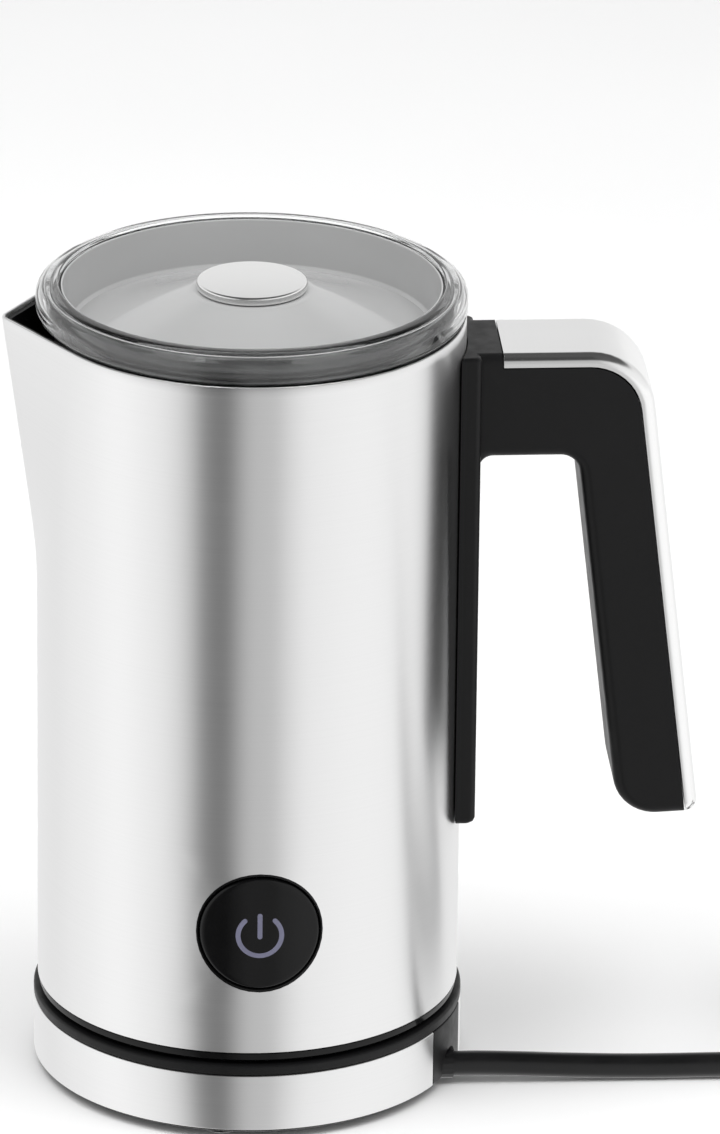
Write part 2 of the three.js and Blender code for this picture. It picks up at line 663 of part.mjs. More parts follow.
/** The part of the handle's outline that the trim covers, from a depth below its face. */
function trimRegion(more) {
  const depth = TRIM_DEPTH + more;
  return roundedShape([
    [SEAM_X - more, HANDLE_TOP + 20], [SEAM_X - more, HANDLE_TOP - depth],
    [gripOuter(HANDLE_TOP) - depth, HANDLE_TOP - depth, 13],
    [gripOuter(20) - depth, 20], [140, 20], [140, HANDLE_TOP + 20],
  ]);
}

function handleWhole() {
  return cut(sidePlate(handleOutline(), HANDLE_WIDTH, HANDLE_EDGE), bar(SHELL_R + 0.35, 0, 200, BIG));
}

function handleStrip() {
  const section = roundedShape([
    [46, -STRIP_HALF], [STRIP_FACE, -STRIP_HALF, 1.6], [STRIP_FACE, STRIP_HALF, 1.6],
    [46, STRIP_HALF],
  ]);
  const stock = new THREE.ExtrudeGeometry(section, {
    depth: HANDLE_TOP - STRIP_BOTTOM, curveSegments: 2, bevelEnabled: false,
  }).translate(0, 0, STRIP_BOTTOM);
  return cut(stock, bar(SHELL_R + 0.35, 0, 200, BIG));
}

function handleBody() {
  const moulding = join(
    cut(handleWhole(), sidePlate(trimRegion(GAP), HANDLE_WIDTH + 10)),
    handleStrip(),
  );
  const pilots = HANDLE_SCREWS.map((z) => bar(1.9, 50, 64, 10).rotateY(Math.PI / 2).translate(0, 0, z));
  return cut(moulding, ...pilots);
}

function handleTrim() {
  return common(handleWhole(), sidePlate(trimRegion(0), HANDLE_WIDTH + 10));
}

add(jug, 'handle_body', handleBody(), 'satin_black');
add(jug, 'handle_trim', handleTrim(), 'satin_steel');
HANDLE_SCREWS.forEach((z, i) => {
  const piece = screw(3.2, 1.5, 1.6, 51.2, 12).rotateY(Math.PI / 2).translate(0, 0, z);
  add(jug, `handle_screw_${i + 1}`, piece, 'aluminium');
});

// ---------------------------------------------------------------- lid

/**
 * The clear lid: a rounded rim that is hollow from below, a skirt inside the pot and a floor that
 * rises to the knob.
 */
function lidCover() {
  const floor = (r) => -4.2 + 10.4 * ((44 - r) / 29.5) ** 1.2;
  const slope = [40, 34, 27, 20, 14.5];
  return turned([
    [0, 6.2], ...slope.toReversed().map((r) => [r, floor(r)]), [44, -4.2], [45, -3.2], [46.8, 7.4],
    [47.4, 8.2], [49.3, 8.2], [51.6, 7], [52.8, 4.6], [52.4, 1.4], [51.4, GAP + 0.1],
    [50.7, GAP + 0.1], [51, 4], [50.2, 5.8], [49.1, 6.5], [48.3, 6.1], [47.2, GAP + 0.1],
    [46.2, GAP + 0.1], [46, -8.6], [44.4, -8.6], [44, -6.4], ...slope.map((r) => [r, floor(r) - 2]),
    [0, 4.2],
  ]);
}

const lid = new THREE.Group();
lid.position.z = RIM_Z;
jug.add(lid);
add(lid, 'lid_cover', lidCover(), 'clear_plastic');
add(lid, 'lid_knob', turned([
  [0, 6.5], [12.9, 6.5], [13.5, 7], [13.5, 8], [12.8, 8.5], [0, 8.5],
], 28), 'knob_satin');
add(lid, 'lid_seal', ring(46.3, 47.1, -6.5, -4), 'silicone_clear');

export default group;
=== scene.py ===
import json
import math

import bmesh
import bpy
import numpy as np
from mathutils import Matrix, Vector

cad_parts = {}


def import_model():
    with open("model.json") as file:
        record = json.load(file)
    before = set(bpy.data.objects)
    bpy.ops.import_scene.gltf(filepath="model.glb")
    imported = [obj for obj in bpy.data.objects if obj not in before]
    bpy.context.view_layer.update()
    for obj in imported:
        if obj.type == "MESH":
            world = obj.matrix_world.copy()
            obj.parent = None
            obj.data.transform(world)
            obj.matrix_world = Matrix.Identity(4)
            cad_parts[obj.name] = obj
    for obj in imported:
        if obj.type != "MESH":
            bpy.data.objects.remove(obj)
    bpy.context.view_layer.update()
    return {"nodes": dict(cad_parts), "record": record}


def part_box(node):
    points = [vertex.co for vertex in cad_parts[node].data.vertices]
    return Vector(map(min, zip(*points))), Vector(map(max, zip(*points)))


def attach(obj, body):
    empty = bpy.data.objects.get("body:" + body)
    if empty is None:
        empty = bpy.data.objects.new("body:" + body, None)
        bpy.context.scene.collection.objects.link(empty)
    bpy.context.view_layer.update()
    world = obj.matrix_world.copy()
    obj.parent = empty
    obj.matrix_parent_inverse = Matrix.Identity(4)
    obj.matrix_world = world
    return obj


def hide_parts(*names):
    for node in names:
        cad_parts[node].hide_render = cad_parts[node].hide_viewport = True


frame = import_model()
MM = 0.001

# ---------------------------------------------------------------- sizes, in millimetres from the jug's axis

base_low, base_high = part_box("base_bottom_plate")
AXIS_X = (base_low.x + base_high.x) / 2 / MM  # the jug's axis in the row frame
JUG_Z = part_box("bottom_ring")[0].z / MM  # the jug's bottom ring stands here
SHELL_R = 52.5
SHELL_WALL = 0.8
LIP_EASE = 0.25  # rounding of the shell's rim
SHELL_FOOT = 2.9
SPOUT_REACH = 61.3
SPOUT_TIP_R = 3.0
SPOUT_HEIGHT = 64.0
RIM_Z = 177.5
BASE_R = 53.5
BASE_H = 20.0
NOTCH = (-22.5, 10.8)  # middle and half width of the base ring's notch, degrees
BLOCK_HALF = 10.4
TOWER_TOP = 38.0
BUTTON_Z = 35.0
BUTTON_R = 14.7
BUTTON_PROUD = 0.3  # the button's face in front of the shell
PATCH, PATCH_CELLS, PATCH_COLUMN, PATCH_ROW = 22.0, 12, 6, 2  # the shell's finer grid round the button
CORD_R = 3.1
CORD_Y = -20.4
OUTLET_X = 50.4
OUTLET_Z = 4.7
COIL = {"x": 166.0, "y": CORD_Y + 34.0 + CORD_R, "r": 34.0}
GROOVE_Z = CORD_R * (1 + math.sqrt(3))  # the middle of a turn that lies on two others
LIFT = 56.0  # how high the lifted jug hangs above its base
AIM_HEIGHT = 90.0  # the aimed point's height in the jug

# ---------------------------------------------------------------- camera

AZIMUTH, ELEVATION, ROLL = math.radians(-3.3), math.radians(21.03), math.radians(0.4)
DISTANCE = 2393 * MM
FOCAL = 8.604  # focal length over the picture's height
AIM = Vector((AXIS_X, 0, JUG_Z + LIFT + AIM_HEIGHT)) * MM  # a point on the axis of the lifted jug
AIM_AT = (-0.0961, 0.1184)  # where that point lies in the picture, from its middle, over its height


def make_camera():
    back = Vector((math.sin(AZIMUTH) * math.cos(ELEVATION), -math.cos(AZIMUTH) * math.cos(ELEVATION),
                   math.sin(ELEVATION)))
    level = Vector((math.cos(AZIMUTH), math.sin(AZIMUTH), 0))
    up = back.cross(level)
    right = level * math.cos(ROLL) + up * math.sin(ROLL)
    top = up * math.cos(ROLL) - level * math.sin(ROLL)
    ahead = (-back - (right * AIM_AT[0] + top * AIM_AT[1]) / FOCAL).normalized()
    right = (right - ahead * right.dot(ahead)).normalized()
    top = right.cross(ahead)
    camera = bpy.data.objects.new("camera", bpy.data.cameras.new("camera"))
    bpy.context.collection.objects.link(camera)
    camera.data.lens = FOCAL * camera.data.sensor_width
    camera.data.clip_start, camera.data.clip_end = 0.05, 50
    turn = Matrix((right, top, -ahead)).transposed().to_4x4()
    camera.matrix_world = Matrix.Translation(AIM + back * DISTANCE) @ turn
    bpy.context.scene.camera = camera


make_camera()

# ---------------------------------------------------------------- node materials


class Nodes:
    """A short way to write a node tree."""

    def __init__(self, name):
        self.material = bpy.data.materials.new(name)
        self.material.use_nodes = True
        self.tree = self.material.node_tree
        self.shader = self.tree.nodes["Principled BSDF"]

    def add(self, kind, inputs=None, **settings):
        node = self.tree.nodes.new(kind)
        for key, value in settings.items():
            setattr(node, key, value)
        for key, value in (inputs or {}).items():
            if isinstance(value, bpy.types.NodeSocket):
                self.tree.links.new(value, node.inputs[key])
            else:
                node.inputs[key].default_value = value
        return node

    def place(self, scale=(1, 1, 1)):
        """Object coordinates, stretched by scale."""
        where = self.add("ShaderNodeTexCoord").outputs["Object"]
        return self.add("ShaderNodeMapping", {"Vector": where, "Scale": scale}).outputs["Vector"]

    def noise(self, scale, detail=3.0, stretch=(1, 1, 1), rough=0.5):
        settings = {"Vector": self.place(stretch), "Scale": scale, "Detail": detail, "Roughness": rough}
        return self.add("ShaderNodeTexNoise", settings).outputs["Fac"]

    def range(self, value, low, high):
        """A noise value, whose middle stretch is 0.3 to 0.7, brought to low to high."""
        settings = {"Value": value, "From Min": 0.3, "From Max": 0.7, "To Min": low, "To Max": high}
        return self.add("ShaderNodeMapRange", settings).outputs["Result"]

    def colours(self, value, first, second):
        ramp = self.add("ShaderNodeValToRGB", {"Fac": value})
        ramp.color_ramp.elements[0].position, ramp.color_ramp.elements[1].position = 0.3, 0.7
        ramp.color_ramp.elements[0].color = (*first, 1)
        ramp.color_ramp.elements[1].color = (*second, 1)
        return ramp.outputs["Color"]

    def bump(self, height, strength, distance):
        settings = {"Height": height, "Strength": strength, "Distance": distance * MM}
        return self.add("ShaderNodeBump", settings).outputs["Normal"]

    def set(self, **values):
        for key, value in values.items():
            socket = self.shader.inputs[key.replace("_", " ")]
            if isinstance(value, bpy.types.NodeSocket):
                self.tree.links.new(value, socket)
            else:
                socket.default_value = value
        return self.material


def shade(colour, factor):
    return tuple(c * factor for c in colour)


def brushed_metal(name, colour, rough, grain=(3, 3, 1400), anisotropic=0.8, depth=0.004):
    """Metal brushed along the directions in which grain is small, so that its reflections stretch along Z."""
    n = Nodes(name)
    streaks = n.noise(1.0, 6, grain, 0.65)
    fine = n.noise(1.0, 2, tuple(2.6 * g for g in grain), 0.5)
    both = n.add("ShaderNodeMath", {0: streaks, 1: fine}, operation="ADD")
    mean = n.add("ShaderNodeMath", {0: both.outputs[0], 1: 0.5}, operation="MULTIPLY").outputs[0]
    tangent = n.add("ShaderNodeTangent", direction_type="RADIAL", axis="Z").outputs["Tangent"]
    return n.set(Base_Color=n.colours(mean, shade(colour, 0.98), shade(colour, 1.015)), Metallic=1.0,
                 Roughness=n.range(mean, rough - 0.03, rough + 0.03), Anisotropic=anisotropic,
                 Anisotropic_Rotation=0.25, Tangent=tangent, Normal=n.bump(mean, 0.12, depth))


def plain_metal(name, colour, rough, grain=120.0, contrast=1.0):
    n = Nodes(name)
    mottle = n.noise(grain, 4)
    low, high = shade(colour, 1 - 0.12 * contrast), shade(colour, 1 + 0.06 * contrast)
    return n.set(Base_Color=n.colours(mottle, low, high), Metallic=1.0,
                 Roughness=n.range(mottle, rough - 0.05 * contrast, rough + 0.08 * contrast),
                 Normal=n.bump(n.noise(900, 2), 0.15 * contrast, 0.02))


def moulded_plastic(name, colour, rough, texture=0.03, coat=0.0, size=1800.0, specular=0.35):
    """Moulded plastic: a fine eroded texture, slight flow marks, and a satin or glossy skin."""
    n = Nodes(name)
    flow = n.noise(14, 3, (1, 1, 0.4))
    pits = n.add("ShaderNodeTexVoronoi", {"Vector": n.place(), "Scale": size}).outputs["Distance"]
    return n.set(Base_Color=n.colours(flow, shade(colour, 0.85), shade(colour, 1.2)),
                 Roughness=n.range(n.noise(260, 4), rough - 0.05, rough + 0.06),
                 Specular_IOR_Level=specular, Coat_Weight=coat, Coat_Roughness=0.05,
                 Normal=n.bump(pits, 0.25, texture))


def clear_plastic(name, colour, rough, transmission, ior=1.49):
    n = Nodes(name)
    haze = n.noise(40, 3)
    return n.set(Base_Color=n.colours(haze, shade(colour, 0.97), colour), Transmission_Weight=transmission,
                 IOR=ior, Roughness=n.range(n.noise(220, 3), rough, rough + 0.03),
                 Normal=n.bump(n.noise(30, 2), 0.05, 0.1))


def rubber(name, colour, rough=0.6, size=2500.0, ribs=0.04):
    n = Nodes(name)
    dust = n.noise(90, 5)
    return n.set(Base_Color=n.colours(dust, shade(colour, 0.8), shade(colour, 1.35)),
                 Roughness=n.range(dust, rough - 0.07, rough + 0.08),
                 Normal=n.bump(n.noise(size, 3), 0.2, ribs))


def circuit_board(name):
    n = Nodes(name)
    tracks = n.add("ShaderNodeTexBrick", {"Vector": n.place((1, 1, 1)), "Scale": 260.0, "Mortar Size": 0.03,
                                          "Color1": (0.02, 0.10, 0.05, 1), "Color2": (0.03, 0.13, 0.06, 1),
                                          "Mortar": (0.10, 0.22, 0.08, 1)}).outputs["Color"]
    return n.set(Base_Color=tracks, Roughness=n.range(n.noise(300, 3), 0.3, 0.45), Coat_Weight=0.4)


def lit_symbol(name, colour):
    n = Nodes(name)
    glow = n.colours(n.noise(160, 2), shade(colour, 0.9), shade(colour, 1.08))
    return n.set(Base_Color=glow, Roughness=n.range(n.noise(300, 2), 0.35, 0.45), Emission_Color=glow,
                 Emission_Strength=0.25)


MATERIALS = {
    "brushed_steel": brushed_metal("brushed_steel", (0.82, 0.82, 0.82), 0.32),
    "satin_steel": brushed_metal("satin_steel", (0.88, 0.88, 0.878), 0.17, (900, 12, 900), 0.3, 0.001),
    "satin_black": moulded_plastic("satin_black", (0.006, 0.006, 0.0063), 0.42, specular=0.22),
    "gloss_black": moulded_plastic("gloss_black", (0.002, 0.002, 0.0022), 0.12, 0.001, 0.0, specular=0.25),
    "clear_plastic": clear_plastic("clear_plastic", (0.93, 0.935, 0.935), 0.01, 1.0),
    "lid_dish": clear_plastic("lid_dish", (0.43, 0.432, 0.432), 0.12, 0.12),
    "knob_satin": plain_metal("knob_satin", (0.95, 0.95, 0.945), 0.26, 1500.0, 0.12),
    "pot_coating": moulded_plastic("pot_coating", (0.006, 0.006, 0.006), 0.4, 0.05, 0.0, 900.0, 0.2),
    "rubber_black": rubber("rubber_black", (0.005, 0.005, 0.0053), 0.34),
    "silicone_clear": rubber("silicone_clear", (0.42, 0.44, 0.45), 0.45),
    "aluminium": plain_metal("aluminium", (0.62, 0.63, 0.64), 0.36),
    "brass": plain_metal("brass", (0.72, 0.52, 0.20), 0.26),
    "magnet": plain_metal("magnet", (0.42, 0.43, 0.45), 0.22),
    "board_green": circuit_board("board_green"),
    "symbol_light": lit_symbol("symbol_light", (0.12, 0.12, 0.18)),
}

# ---------------------------------------------------------------- mesh helpers


def world(x, y, z):
    """Millimetres from the jug's axis to metres in the row frame."""
    return ((AXIS_X + x) * MM, y * MM, z * MM)


def bands(rings, count, closed=False, whole=True):
    """Quads between successive rings of count vertices; closed joins the last ring to the first."""
    faces, steps = [], range(count if whole else count - 1)
    for j in range(rings if closed else rings - 1):
        a, b = j * count, (j + 1) % rings * count
        faces += [(a + i, a + (i + 1) % count, b + (i + 1) % count, b + i) for i in steps]
    return faces


def outward(mesh, merge=0.0):
    """Turns a mesh's faces outward, after joining vertices that lie closer than merge."""
    edit = bmesh.new()
    edit.from_mesh(mesh)
    if merge:
        bmesh.ops.remove_doubles(edit, verts=edit.verts, dist=merge)
    bmesh.ops.recalc_face_normals(edit, faces=edit.faces)
    edit.to_mesh(mesh)
    edit.free()


def applied(obj):
    """Bakes the object's modifiers into its mesh."""
    mesh = bpy.data.meshes.new_from_object(obj.evaluated_get(bpy.context.evaluated_depsgraph_get()))
    obj.modifiers.clear()
    obj.data = mesh


def smooth(obj, degrees=32):
    obj.data.polygons.foreach_set("use_smooth", [True] * len(obj.data.polygons))
    obj.data.set_sharp_from_angle(angle=math.radians(degrees))
    obj.data.update()


def piece(name, verts, faces, material, body, stands_for=None, sharp=32):
    """A mesh piece in millimetres from the jug's axis that rides on a body and may stand for a CAD node."""
    mesh = bpy.data.meshes.new(name)
    mesh.from_pydata([world(*v) for v in verts], [], faces)
    mesh.validate()
    obj = bpy.data.objects.new(name, mesh)
    bpy.context.collection.objects.link(obj)
    outward(mesh, 1e-7)
    mesh.materials.append(MATERIALS[material])
    smooth(obj, sharp)
    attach(obj, body)
    if stands_for:
        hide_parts(stands_for)
    return obj


def rounded(corners, closed, steps=6):
    """[a, b, radius] corners to points, with each radius as an arc."""
    points = []
    count = len(corners)
    for i, corner in enumerate(corners):
        here, radius = np.array(corner[:2], float), corner[2] if len(corner) > 2 else 0
        if radius == 0 or (not closed and i in (0, count - 1)):
            points.append(tuple(here))
            continue
        back = np.array(corners[i - 1][:2], float) - here
        ahead = np.array(corners[(i + 1) % count][:2], float) - here
        back, ahead = back / np.linalg.norm(back), ahead / np.linalg.norm(ahead)
        half = math.acos(float(np.clip(back @ ahead, -1, 1))) / 2
        middle = (back + ahead) / np.linalg.norm(back + ahead)
        centre = here + middle * radius / math.sin(half)
        start, end = here + back * radius / math.tan(half), here + ahead * radius / math.tan(half)
        a, b = (math.atan2(*(p - centre)[::-1]) for p in (start, end))
        turn = (b - a + math.pi) % (2 * math.pi) - math.pi
        angles = [a + turn * k / steps for k in range(steps + 1)]
        points += [tuple(centre + radius * np.array((math.cos(t), math.sin(t)))) for t in angles]
    return points


def turned(name, corners, material, body, stands_for=None, closed=True, facets=144, start=0.0, sweep=360.0,
           lift=0.0, sharp=32, steps=6):
    """A turned piece from a profile of [radius, z, corner radius]; an open one begins and ends at the axis."""
    profile = rounded(corners, closed, steps)
    whole = sweep >= 360
    columns = facets if whole else facets + 1
    angles = [math.radians(start + sweep * i / facets) for i in range(columns)]
    verts = [(r * math.cos(a), r * math.sin(a), z + lift) for r, z in profile for a in angles]
    rows = len(profile)
    faces = bands(rows, columns, closed, whole)
    if not whole:
        faces += [tuple(j * columns for j in range(rows)), tuple(j * columns + facets for j in range(rows))]
    return piece(name, verts, faces, material, body, stands_for, sharp)


def carve(obj, tool, operation="DIFFERENCE"):
    """Cuts a piece with a cutter, or joins or intersects them, and removes the cutter."""
    modifier = obj.modifiers.new("carve", "BOOLEAN")
    modifier.operation, modifier.solver, modifier.object = operation, "EXACT", tool
    applied(obj)
    bpy.data.objects.remove(tool)
    smooth(obj)


def cutter(verts, faces):
    mesh = bpy.data.meshes.new("cutter")
    mesh.from_pydata([world(*v) for v in verts], [], faces)
    obj = bpy.data.objects.new("cutter", mesh)
    bpy.context.collection.objects.link(obj)
    outward(mesh)
    return obj


def prism(outline, low, high, along):
    """A cutter from a closed outline, drawn out along one axis; the outline holds the other two in order."""
    place, count = "xyz".index(along), len(outline)
    verts = [(*point[:place], t, *point[place:]) for t in (low, high) for point in outline]
    faces = [tuple(range(count)), tuple(range(count, 2 * count)), *bands(2, count)]
    return cutter(verts, faces)


def disc(radius, count):
    return [(radius * math.cos(2 * math.pi * i / count), radius * math.sin(2 * math.pi * i / count))
            for i in range(count)]


# ---------------------------------------------------------------- cord and plug


def route():
    """The cord's centreline: out of the base, down onto the surface, three turns of a coil, then the plug."""
    turn_r, thick = COIL["r"], 2 * CORD_R
    points = [(OUTLET_X, CORD_Y, OUTLET_Z), (56, CORD_Y, OUTLET_Z), (66, CORD_Y, 4.35), (78, CORD_Y, 3.75),
              (90, CORD_Y, 3.3), (100, CORD_Y, CORD_R), (112, CORD_Y, CORD_R), (126, CORD_Y, CORD_R),
              (140, CORD_Y, CORD_R), (154, CORD_Y, CORD_R)]

    def ease(x, low, high):
        t = min(max((x - low) / (high - low), 0), 1)
        return t * t * (3 - 2 * t)

    step, last = 15, 2 * 360 + 352
    # degrees round the coil: an outer turn, an inner turn, and a last one on top in the groove between them
    for i in range(0, last, step):
        radius = turn_r + CORD_R - thick * ease(i, 300, 348) + CORD_R * ease(i, 675, 705)
        radius += thick * ease(i, 1015, 1055)
        z = CORD_R + (GROOVE_Z - CORD_R) * ease(i, 620, 665) + 0.8 * ease(i, 1010, 1050)
        angle = math.radians(i - 90)
        points.append((COIL["x"] + radius * math.cos(angle), COIL["y"] + radius * math.sin(angle), z))
    leave = math.radians(-98 + 90)
    ahead, aside = (math.cos(leave), math.sin(leave)), (math.sin(leave), -math.cos(leave))
    for along, z in ((4, 9.25), (14, 9.25), (23, 9.2), (30, 8.4), (38.4, 7.3)):
        points.append((COIL["x"] + along * ahead[0] + aside[0] * (turn_r + thick),
                       COIL["y"] + along * ahead[1] + aside[1] * (turn_r + thick), z))
    return points


def make_tie(degrees=60, thick=0.6, width=5.0, count=48):
    """A flat band round the coil's three turns of cord."""
    a = math.radians(degrees)
    turns = [(COIL["r"] - CORD_R, CORD_R), (COIL["r"] + CORD_R, CORD_R), (COIL["r"], GROOVE_Z)]
    verts = []
    for reach, along in ((CORD_R + thick, -width / 2), (CORD_R + thick, width / 2), (CORD_R - 0.1, width / 2),
                         (CORD_R - 0.1, -width / 2)):
        for i in range(count):
            t = 2 * math.pi * i / count
            out, up = math.cos(t), math.sin(t)
            r, z = max(turns, key=lambda turn: turn[0] * out + turn[1] * up)
            r, z = r + reach * out, max(z + reach * up, 0.1 if reach > CORD_R else 0.5)
            verts.append((COIL["x"] + r * math.cos(a) - along * math.sin(a),
                          COIL["y"] + r * math.sin(a) + along * math.cos(a), z))
    return piece("coil_tie", verts, bands(4, count, closed=True), "rubber_black", "base")


def make_cord(tie):
    line = bpy.data.curves.new("mains_cord", "CURVE")
    line.dimensions = "3D"
    line.bevel_depth = CORD_R * MM
    line.bevel_resolution = 6
    line.resolution_u = 6
    line.use_fill_caps = True
    spline = line.splines.new("BEZIER")
    points = route()
    spline.bezier_points.add(len(points) - 1)
    for at, (x, y, z) in zip(spline.bezier_points, points, strict=True):
        at.co = world(x, y, z)
        at.handle_left_type = at.handle_right_type = "AUTO"
    cord = bpy.data.objects.new("mains_cord", line)
    bpy.context.collection.objects.link(cord)
    line.materials.append(MATERIALS["rubber_black"])
    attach(cord, "base")
    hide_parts("cord", "cord_coil", "cord_tail")


make_cord(make_tie())

# ---------------------------------------------------------------- base


def outlet_arch():
    """The cord's round-topped slot through the block and the underside."""
    half, low, high = CORD_R + 1.3, OUTLET_X - 21, 70.0  # the slot's half width, and its two ends in x
    arch = [(CORD_Y + half * math.cos(math.pi * i / 16), OUTLET_Z + half * math.sin(math.pi * i / 16))
            for i in range(17)]
    return prism([*arch, (CORD_Y - half, -1), (CORD_Y + half, -1)], low, high, "x")


def make_base():
    middle, half = NOTCH
    underside = turned("base_underside", [(0, 1.2), (51, 1.2, 1.2), (53, 2.4, 0.3), (0, 2.4)], "satin_black",
                       "base", "base_bottom_plate", closed=False)
    carve(underside, outlet_arch())
    turned("base_ring", [(BASE_R - 0.7, 2.7), (BASE_R, 2.7, 0.3), (BASE_R, 17.3, 0.3), (BASE_R - 0.7, 17.3)],
           "brushed_steel", "base", "base_steel_ring", start=middle + half, sweep=360 - 2 * half)
    turned("base_top", [(15.8, 17.6), (BASE_R, 17.6, 0.25), (BASE_R, BASE_H, 0.7), (34, BASE_H, 3),
                        (30, 19.1, 3), (15.8, 19.1, 0.3)], "satin_black", "base", "base_top_plate")
    turned("base_wall", [(50.4, 3), (52.3, 3), (52.3, 17.3), (50.4, 17.3)], "satin_black", "base",
           "base_top_plate", start=middle + half, sweep=360 - 2 * half)
    block = turned("outlet_block", [(44, 2.9), (BASE_R, 2.9, 0.4), (BASE_R, 17.3, 0.3), (44, 17.3)],
                   "satin_black", "base", "cord_outlet_block", start=middle - BLOCK_HALF, sweep=2 * BLOCK_HALF,
                   facets=24)
    carve(block, outlet_arch())
    turned("tower", [(0, 17), (15.6, 17), (15.4, 20.4, 1), (14.75, TOWER_TOP, 1.1), (12.4, TOWER_TOP, 0.5),
                     (12.4, 26), (9.2, 26), (9.2, 36.5, 0.3), (8, 36.5, 0.3), (8, 26), (4.5, 26),
                     (4.5, 36.5, 0.4), (2.8, 36.5, 0.4), (2.8, 28), (0, 28)],
           "satin_black", "base", "connector_tower", closed=False, facets=96)


make_base()

# ---------------------------------------------------------------- jug shell


def spout_reach(z):
    """From the axis to the spout's tip: straight, with a soft start."""
    rise = (z - (RIM_Z - SPOUT_HEIGHT)) / SPOUT_HEIGHT
    blend = 0.06
    soft = blend * math.log1p(math.exp(min((rise - 0.03) / blend, 50)))
    return SHELL_R + (SPOUT_REACH - SHELL_R) * min(soft, rise if rise > 0.5 else soft)


def half_outline(z, inset, spread):
    """Points from the spout's tip round to 45 degrees from it, dense near the tip, on one side of the jug."""
    centre = spout_reach(z) - SPOUT_TIP_R
    slope = math.acos(min((SHELL_R - SPOUT_TIP_R) / centre, 1))
    big, small = SHELL_R - inset, max(SPOUT_TIP_R - inset, 0.05)
    straight = math.sqrt(max(centre**2 - (SHELL_R - SPOUT_TIP_R) ** 2, 0))
    tip_arc, body_arc = small * slope, big * (math.pi / 4 - slope)
    total = tip_arc + straight + body_arc
    for share in spread:
        s = share * total
        if s < tip_arc:
            angle = s / small
            x, y = centre + small * math.cos(angle), small * math.sin(angle)
        elif s < tip_arc + straight:
            along = s - tip_arc
            x = centre + small * math.cos(slope) - along * math.sin(slope)
            y = small * math.sin(slope) + along * math.cos(slope)
        else:
            angle = slope + (s - tip_arc - straight) / big
            x, y = big * math.cos(angle), big * math.sin(angle)
        yield x, y


def body_angles():
    """Angles of the columns, from one end of the spout stretch to the other and finer at the button."""
    patch = math.degrees(PATCH / SHELL_R)
    spans = [(-135, -90 - patch, PATCH_COLUMN), (-90 - patch, -90 + patch, PATCH_CELLS),
             (-90 + patch, 135, 68)]
    angles = [low + (high - low) * i / count for low, high, count in spans for i in range(count)]
    return [math.radians(a) for a in [*angles, 135]]


SPREAD = [(k / 26) ** 1.7 for k in range(27)]


def jug_loop(z, inset):
    spout = list(half_outline(z, inset, SPREAD))
    upper = [(-x, y, z) for x, y in reversed(spout[1:-1])]  # from the body's end at 135 degrees to the tip
    lower = [(-x, -y, z) for x, y in spout[:-1]]
    body = [((SHELL_R - inset) * math.cos(a), (SHELL_R - inset) * math.sin(a), z) for a in body_angles()]
    return body + upper + lower


def make_shell():
    """The steel shell: two walls with a round hole for the button, joined at foot and rim."""
    rows = [SHELL_FOOT, 8.0]
    rows += [BUTTON_Z - PATCH + 2 * PATCH * i / PATCH_CELLS for i in range(PATCH_CELLS + 1)]
    rows += [75.0, 95.0, 104.0] + [108 + (RIM_Z - LIP_EASE - 108) * i / 30 for i in range(31)]
    columns = len(jug_loop(0, 0))
    verts, faces = [], []

    def wall(inset):
        start = len(verts)
        for z in rows:
            verts.extend(jug_loop(z, inset))
        for j in range(len(rows) - 1):
            for i in range(columns):
                if not (0 <= i - PATCH_COLUMN < PATCH_CELLS and 0 <= j - PATCH_ROW < PATCH_CELLS):
                    a, b, k = start + j * columns, start + (j + 1) * columns, (i + 1) % columns
                    faces.append((a + i, a + k, b + k, b + i))
        return start

    def patch_rim(start):
        """The patch's border vertices, anticlockwise as seen from outside."""
        def at(i, j):
            return start + (PATCH_ROW + j) * columns + PATCH_COLUMN + i

        last, steps = PATCH_CELLS, range(PATCH_CELLS)
        return ([at(i, 0) for i in steps] + [at(last, j) for j in steps]
                + [at(last - i, last) for i in steps] + [at(0, last - j) for j in steps])

    holes, starts = [], []
    for inset in (0, SHELL_WALL):
        starts.append(wall(inset))
        border = patch_rim(starts[-1])
        ring = border
        radius = SHELL_R - inset
        for share in (0.4, 0.75, 1.0):
            following = []
            for index in border:
                x, y, z = verts[index]
                across, height = radius * (math.atan2(y, x) + math.pi / 2), z - BUTTON_Z
                scale = (1 - share) + share * (BUTTON_R + 1.1) / math.hypot(across, height)
                angle = across * scale / radius - math.pi / 2
                following.append(len(verts))
                verts.append((radius * math.cos(angle), radius * math.sin(angle), BUTTON_Z + height * scale))
            count = len(ring)
            faces.extend((ring[i], ring[(i + 1) % count], following[(i + 1) % count], following[i])
                         for i in range(count))
            ring = following
        holes.append(ring)
    count = len(holes[0])
    faces.extend((holes[0][i], holes[0][(i + 1) % count], holes[1][(i + 1) % count], holes[1][i])
                 for i in range(count))
    top = (len(rows) - 1) * columns
    lip = len(verts)  # a rounded lip at the rim
    verts.extend(jug_loop(RIM_Z, LIP_EASE))
    verts.extend(jug_loop(RIM_Z, SHELL_WALL - LIP_EASE))
    levels = [starts[0] + top, lip, lip + columns, starts[1] + top]
    for a, b in [*zip(levels, levels[1:]), (starts[1], starts[0])]:
        faces.extend((a + i, a + (i + 1) % columns, b + (i + 1) % columns, b + i) for i in range(columns))
    lifted_verts = [(x, y, z + JUG_Z) for x, y, z in verts]
    piece("jug_shell", lifted_verts, faces, "brushed_steel", "jug", "outer_shell", sharp=50)


def make_foot_ring():
    turned("foot_ring", [(46.5, 0, 0.3), (51.4, 0, 0.7), (52.3, 0.9, 0.5), (52.3, 2.6, 0.3), (51.3, 2.6),
                         (51.3, 6.6), (50, 6.6), (50, 2.6), (46.5, 2.6)], "gloss_black", "jug", "bottom_ring",
           lift=JUG_Z)


make_foot_ring()
make_shell()

# ---------------------------------------------------------------- pot, collar and whisk


